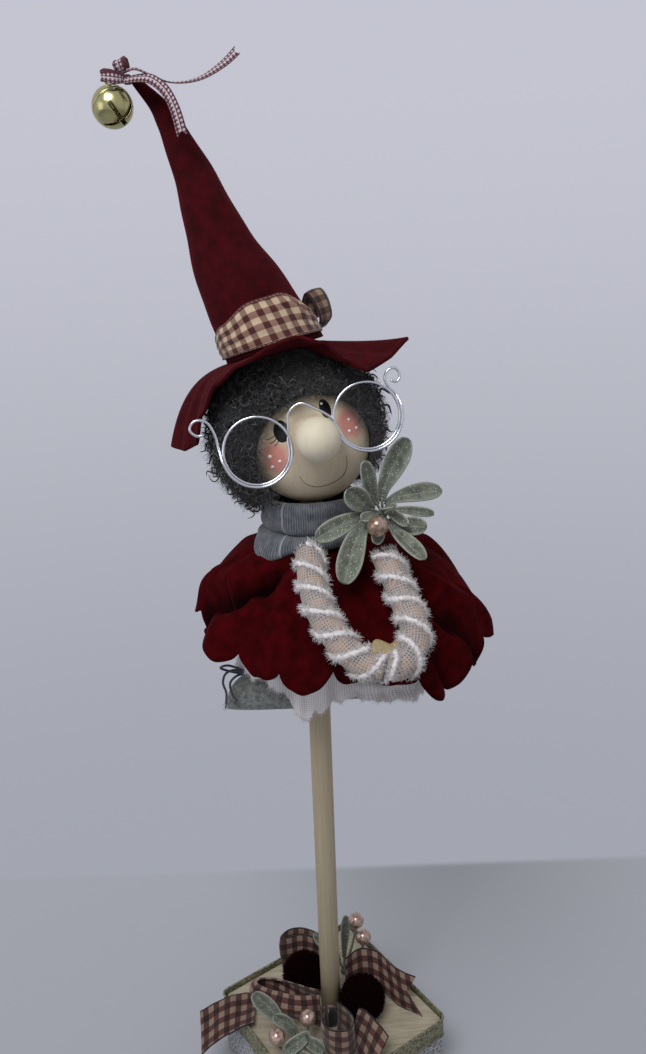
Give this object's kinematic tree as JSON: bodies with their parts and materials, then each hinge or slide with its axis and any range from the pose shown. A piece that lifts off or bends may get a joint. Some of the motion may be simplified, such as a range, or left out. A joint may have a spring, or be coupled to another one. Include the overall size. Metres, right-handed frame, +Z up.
{
  "type": "befana doll on a stick",
  "caption": "Wooden-headed folk doll in a felt hat and scalloped cape, carried on a dowel in a square block, with a hanging bell and loose arms and legs.",
  "frame": {"origin": "middle of the wooden block's underside", "axes": "+Z up along the stick, the doll looks along -Y, +X is the viewer's right"},
  "size_m": [0.1867, 0.1536, 0.5827],
  "materials": {
    "painted_block": "cream chalk paint, matte",
    "grey_lace": "grey lace",
    "glitter_trim": "olive glitter ribbon",
    "bare_wood": "bare beech, sanded",
    "hand_wood": "bare lime wood",
    "silver_wire": "bright craft wire",
    "burgundy_felt": "wool felt",
    "wine_velvet": "panne cloth, dark wine",
    "hat_gingham": "gingham ribbon, burgundy and cream",
    "tip_gingham": "narrow gingham ribbon",
    "foot_gingham": "wide gingham ribbon, wired edge",
    "mohair": "charcoal mohair curls",
    "grey_wool": "ribbed grey knit",
    "wadding": "polyester wadding",
    "white_gauze": "open white cotton gauze",
    "gauze_wrapped_arm": "tan cloth wound with frayed gauze",
    "glitter_felt": "grey glitter felt",
    "slate_cord": "slate cotton cord",
    "bell_brass": "lacquered brass",
    "frosted_leaf": "green leaf with frost glitter",
    "pearl_bead": "champagne pearl coat",
    "pompom_yarn": "cut wool yarn, dark burgundy"
  },
  "bodies": {
    "stand": {"block": "painted_block", "side_lace": "grey_lace", "edge_trim": "glitter_trim", "dowel": "bare_wood", "head": "bare_wood", "nose": "bare_wood", "spectacles": "silver_wire", "hat_cone": "burgundy_felt", "hat_brim": "burgundy_felt", "hat_band": "hat_gingham", "hat_band_bow": "hat_gingham", "hair": "mohair", "scarf_wrap": "grey_wool", "scarf_fold": "grey_wool", "body_core": "wadding", "cape": "wine_velvet", "petticoat": "white_gauze", "tip_knot": "tip_gingham", "tip_loop_upper": "tip_gingham", "tip_loop_left": "tip_gingham", "tip_tail_short": "tip_gingham", "tip_tail_long": "tip_gingham", "bell_strand": "tip_gingham", "neck_spray": "frosted_leaf", "neck_pearl": "pearl_bead", "pompom_right": "pompom_yarn", "pompom_left": "pompom_yarn", "pearl_back_upper": "pearl_bead", "pearl_back_lower": "pearl_bead", "pearl_front_upper": "pearl_bead", "pearl_front_lower": "pearl_bead", "foot_sprig_back": "frosted_leaf", "foot_sprig_front": "frosted_leaf", "foot_knot": "foot_gingham", "foot_loop_back": "foot_gingham", "foot_loop_left": "foot_gingham", "foot_loop_front": "foot_gingham", "foot_tail_right": "foot_gingham", "foot_tail_left": "foot_gingham", "foot_tail_front": "foot_gingham"},
    "bell": {"bell_upper": "bell_brass", "bell_lower": "bell_brass"},
    "pellet": {"bell_pellet": "bell_brass"},
    "arms": {"arm_left": "gauze_wrapped_arm", "arm_right": "gauze_wrapped_arm", "hand_left": "hand_wood", "hand_right": "hand_wood"},
    "left_leg": {"leg_left": "white_gauze", "boot_left": "glitter_felt", "boot_lace_left": "slate_cord"},
    "right_leg": {"leg_right": "white_gauze", "boot_right": "glitter_felt", "boot_lace_right": "slate_cord"}
  },
  "joints": [
    {"name": "bell_swing", "type": "hinge", "parent": "stand", "child": "bell", "pos_m": [-0.0838, 0.0134, 0.5704], "axis": [0, 1, 0], "range_deg": [-5, 45]},
    {"name": "pellet_rattle", "type": "slide", "parent": "bell", "child": "pellet", "axis": [0, 0, 1], "range_m": [0, 0.01]},
    {"name": "arms_lift", "type": "hinge", "parent": "stand", "child": "arms", "pos_m": [0.016, -0.033, 0.351], "axis": [-1, 0, 0], "range_deg": [0, 25]},
    {"name": "left_leg_swing", "type": "hinge", "parent": "stand", "child": "left_leg", "pos_m": [-0.013, -0.019, 0.2981], "axis": [1, 0, 0], "range_deg": [-10, 10]},
    {"name": "right_leg_swing", "type": "hinge", "parent": "stand", "child": "right_leg", "pos_m": [0.013, -0.011, 0.2981], "axis": [1, 0, 0], "range_deg": [-10, 10]}
  ]
}
